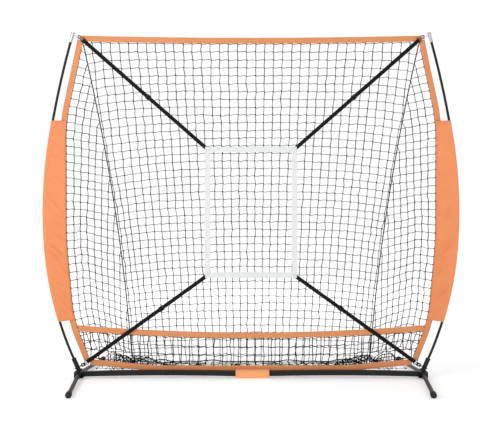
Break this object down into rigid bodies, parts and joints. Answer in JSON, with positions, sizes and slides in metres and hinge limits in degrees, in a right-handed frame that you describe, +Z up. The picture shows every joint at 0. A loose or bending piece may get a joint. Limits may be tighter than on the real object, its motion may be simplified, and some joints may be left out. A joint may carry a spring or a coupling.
{
  "type": "pitching target net",
  "caption": "Free-standing bow-frame practice net with a hung bag net, a ribbon strike-zone target on adjustable straps, and fold-out feet.",
  "frame": {"origin": "on the ground, midway between the two poles and midway between the front and rear feet", "axes": "+X to the thrower's right, +Y away from the thrower into the bag, +Z up"},
  "size_m": [2.5922, 1.07, 2.1511],
  "materials": {
    "steel_black": "gloss powder coat",
    "button_steel": "satin",
    "bolt_black": "satin black zinc",
    "bush_plastic": "matte",
    "foot_rubber": "matte",
    "fibreglass": "satin, drawn along its length",
    "ferrule_metal": "satin",
    "tip_metal": "satin",
    "shock_cord": "braided",
    "band_orange": "woven polyester binding",
    "sleeve_orange": "woven polyester, coated back",
    "net_black": "knotted twine",
    "edge_cord": "braided",
    "webbing_black": "woven webbing",
    "target_white": "woven ribbon",
    "hook_steel": "polished",
    "slider_plastic": "moulded",
    "loop_white": "braided",
    "loop_black": "braided"
  },
  "bodies": {
    "frame": {"bar_wrap": "sleeve_orange", "base_coupler": "steel_black", "base_tube_left": "steel_black", "base_tube_right": "steel_black", "bottom_band": "band_orange", "corner_loops_lower": "loop_black", "corner_loops_upper": "loop_white", "corner_tabs": "webbing_black", "end_bracket_left": "steel_black", "end_bracket_right": "steel_black", "lip_band": "band_orange", "net_back": "net_black", "net_edge_cords": "edge_cord", "net_floor": "net_black", "net_lip": "net_black", "net_side_left": "net_black", "net_side_right": "net_black", "pivot_bolts": "bolt_black", "pole_ferrules": "ferrule_metal", "pole_lower_left": "fibreglass", "pole_lower_right": "fibreglass", "pole_middle_left": "fibreglass", "pole_middle_right": "fibreglass", "pole_sleeve_left": "sleeve_orange", "pole_sleeve_right": "sleeve_orange", "pole_socket_left": "steel_black", "pole_socket_right": "steel_black", "pole_tip_left": "tip_metal", "pole_tip_right": "tip_metal", "pole_upper_left": "fibreglass", "pole_upper_right": "fibreglass", "shock_cords": "shock_cord", "side_band_left": "band_orange", "side_band_right": "band_orange", "snap_hooks": "hook_steel", "socket_bush_left": "bush_plastic", "socket_bush_right": "bush_plastic", "strap_lower_left": "webbing_black", "strap_lower_right": "webbing_black", "strap_upper_left": "webbing_black", "strap_upper_right": "webbing_black", "target_frame": "target_white", "top_band": "band_orange"},
    "leg_front_left": {"leg_front_left": "steel_black", "foot_cap_front_left": "foot_rubber"},
    "leg_rear_left": {"leg_rear_left": "steel_black", "foot_cap_rear_left": "foot_rubber"},
    "leg_front_right": {"leg_front_right": "steel_black", "foot_cap_front_right": "foot_rubber"},
    "leg_rear_right": {"leg_rear_right": "steel_black", "foot_cap_rear_right": "foot_rubber"},
    "hook_gate_upper_left": {"hook_gate_upper_left": "hook_steel"},
    "slider_upper_left": {"slider_upper_left": "slider_plastic"},
    "hook_gate_upper_right": {"hook_gate_upper_right": "hook_steel"},
    "slider_upper_right": {"slider_upper_right": "slider_plastic"},
    "hook_gate_lower_left": {"hook_gate_lower_left": "hook_steel"},
    "slider_lower_left": {"slider_lower_left": "slider_plastic"},
    "hook_gate_lower_right": {"hook_gate_lower_right": "hook_steel"},
    "slider_lower_right": {"slider_lower_right": "slider_plastic"},
    "snap_button": {"snap_button": "button_steel"}
  },
  "joints": [
    {"name": "leg_front_left_fold", "type": "hinge", "parent": "frame", "child": "leg_front_left", "pos_m": [-1.065, -0.038, 0.027], "axis": [0, 0, 1], "range_deg": [0, 82]},
    {"name": "leg_rear_left_fold", "type": "hinge", "parent": "frame", "child": "leg_rear_left", "pos_m": [-1.065, 0.038, 0.027], "axis": [0, 0, -1], "range_deg": [0, 82]},
    {"name": "leg_front_right_fold", "type": "hinge", "parent": "frame", "child": "leg_front_right", "pos_m": [1.065, -0.038, 0.027], "axis": [0, 0, -1], "range_deg": [0, 82]},
    {"name": "leg_rear_right_fold", "type": "hinge", "parent": "frame", "child": "leg_rear_right", "pos_m": [1.065, 0.038, 0.027], "axis": [0, 0, 1], "range_deg": [0, 82]},
    {"name": "hook_gate_upper_left_open", "type": "hinge", "parent": "frame", "child": "hook_gate_upper_left", "pos_m": [-1.05136, 0.001, 2.11437], "axis": [0, -1, 0], "range_deg": [0, 25], "stiffness_Nm_per_rad": 0.02, "springref_deg": -22.92},
    {"name": "slider_upper_left_slide", "type": "slide", "parent": "frame", "child": "slider_upper_left", "axis": [0.7519, 0, -0.6593], "range_m": [-0.08, 0.08]},
    {"name": "hook_gate_upper_right_open", "type": "hinge", "parent": "frame", "child": "hook_gate_upper_right", "pos_m": [1.05136, 0.001, 2.11437], "axis": [0, 1, 0], "range_deg": [0, 25], "stiffness_Nm_per_rad": 0.02, "springref_deg": -22.92},
    {"name": "slider_upper_right_slide", "type": "slide", "parent": "frame", "child": "slider_upper_right", "axis": [-0.7519, 0, -0.6593], "range_m": [-0.08, 0.08]},
    {"name": "hook_gate_lower_left_open", "type": "hinge", "parent": "frame", "child": "hook_gate_lower_left", "pos_m": [-1.03525, 0.001, 0.09537], "axis": [0, -1, 0], "range_deg": [0, 25], "stiffness_Nm_per_rad": 0.02, "springref_deg": -22.92},
    {"name": "slider_lower_left_slide", "type": "slide", "parent": "frame", "child": "slider_lower_left", "axis": [0.8119, 0, 0.5838], "range_m": [-0.08, 0.08]},
    {"name": "hook_gate_lower_right_open", "type": "hinge", "parent": "frame", "child": "hook_gate_lower_right", "pos_m": [1.03525, 0.001, 0.09537], "axis": [0, 1, 0], "range_deg": [0, 25], "stiffness_Nm_per_rad": 0.02, "springref_deg": -22.92},
    {"name": "slider_lower_right_slide", "type": "slide", "parent": "frame", "child": "slider_lower_right", "axis": [-0.8119, 0, 0.5838], "range_m": [-0.08, 0.08]},
    {"name": "snap_button_press", "type": "slide", "parent": "frame", "child": "snap_button", "axis": [0, 1, 0], "range_m": [0, 0.0033], "stiffness_N_per_m": 600, "springref_m": -0.003}
  ]
}
